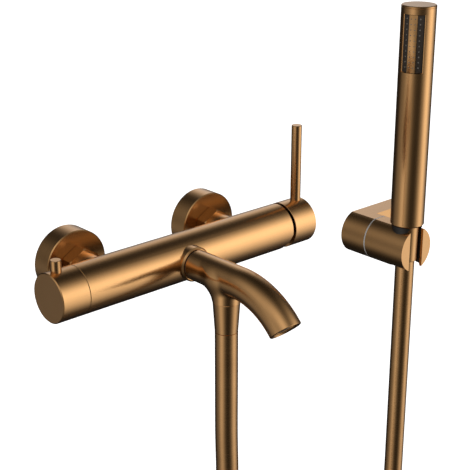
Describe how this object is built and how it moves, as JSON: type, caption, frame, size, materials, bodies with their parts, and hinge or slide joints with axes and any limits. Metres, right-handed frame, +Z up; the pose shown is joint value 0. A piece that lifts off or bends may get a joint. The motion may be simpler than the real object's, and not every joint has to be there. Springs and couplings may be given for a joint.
{
  "type": "wall mounted bath mixer with hand shower",
  "caption": "Wall mounted bath mixer: cylindrical body with lever and diverter knob, curved spout, hose, stick handset and swivelling wall holder.",
  "frame": {"origin": "on the finished wall face, midway between the axes of the two water inlets", "axes": "+X right along the wall to the lever end, +Y into the wall, +Z up"},
  "size_m": [0.5126, 0.2232, 0.932],
  "materials": {
    "brushed_bronze": "satin brushed bronze coating",
    "hose_skin": "smooth satin bronze skin",
    "brass": "turned",
    "steel": "satin",
    "seal_rubber": "matt",
    "white_plastic": "matt",
    "black_plastic": "satin",
    "spray_metal": "satin",
    "nozzle_silicone": "soft matt"
  },
  "bodies": {
    "fixed": {"mixer_body": "brushed_bronze", "cartridge_housing": "white_plastic", "fixed_disc": "white_plastic", "cartridge_nut": "brass", "cartridge_bonnet": "black_plastic", "cartridge_seals": "seal_rubber", "diverter_housing": "white_plastic", "diverter_nut": "brass", "diverter_seals": "seal_rubber", "left_union": "brass", "right_union": "brass", "left_flange": "brushed_bronze", "right_flange": "brushed_bronze", "left_union_nut": "brushed_bronze", "right_union_nut": "brushed_bronze", "inlet_washers": "seal_rubber", "inlet_check_valves": "white_plastic", "spout": "brushed_bronze", "spout_nipple": "brass", "spout_seal": "seal_rubber", "aerator_housing": "steel", "aerator_screen": "steel", "aerator_seal": "seal_rubber", "outlet_nipple": "brass", "outlet_check_valve": "white_plastic", "mixer_hose_nut": "brushed_bronze", "mixer_hose_washer": "seal_rubber", "mixer_ferrule": "brass", "hose_tube": "hose_skin", "holder_plate": "steel", "holder_base": "brushed_bronze", "base_screw": "steel", "swivel_ring": "steel"},
    "diverter": {"diverter_spindle": "brass", "diverter_knob": "brushed_bronze", "grip_pin": "brushed_bronze", "knob_screw": "steel"},
    "mixing_core": {"moving_disc": "white_plastic", "cartridge_turret": "white_plastic", "stem_pin": "steel"},
    "lever": {"cartridge_stem": "steel", "handle_cap": "brushed_bronze", "lever_rod": "brushed_bronze", "lever_screw": "steel"},
    "fork": {"holder_fork": "brushed_bronze", "fork_liner": "black_plastic", "fork_bolt": "steel", "wave_washer": "steel", "hose_riser": "hose_skin"},
    "hose_end": {"handset_hose_nut": "brushed_bronze", "handset_hose_washer": "seal_rubber", "handset_ferrule": "brass"},
    "handset": {"handset_tube": "brushed_bronze", "handset_cap": "brushed_bronze", "spray_panel": "spray_metal", "nozzle_mat": "nozzle_silicone", "handset_core": "white_plastic", "handset_inlet": "brass", "flow_limiter": "white_plastic"}
  },
  "joints": [
    {"name": "diverter_turn", "type": "hinge", "parent": "fixed", "child": "diverter", "pos_m": [-0.1217, -0.065, 0], "axis": [1, 0, 0], "range_deg": [0, 90]},
    {"name": "temperature_turn", "type": "hinge", "parent": "fixed", "child": "mixing_core", "pos_m": [0.1039, -0.065, 0], "axis": [1, 0, 0], "range_deg": [-35, 35]},
    {"name": "flow_tilt", "type": "hinge", "parent": "mixing_core", "child": "lever", "pos_m": [0.1039, -0.065, 0], "axis": [0, 1, 0], "range_deg": [0, 16]},
    {"name": "fork_swivel", "type": "hinge", "parent": "fixed", "child": "fork", "pos_m": [0.304, -0.05, -0.0663], "axis": [0, 1, 0], "range_deg": [-25, 25], "deforming": ["hose_riser"]},
    {"name": "handset_lift", "type": "slide", "parent": "fork", "child": "hose_end", "axis": [0, 0, 1], "range_m": [0, 0.06], "deforming": ["hose_riser"]},
    {"name": "handset_turn", "type": "hinge", "parent": "hose_end", "child": "handset", "pos_m": [0.304, -0.07, 0], "axis": [0, 0, 1], "range_deg": [-90, 90]}
  ]
}
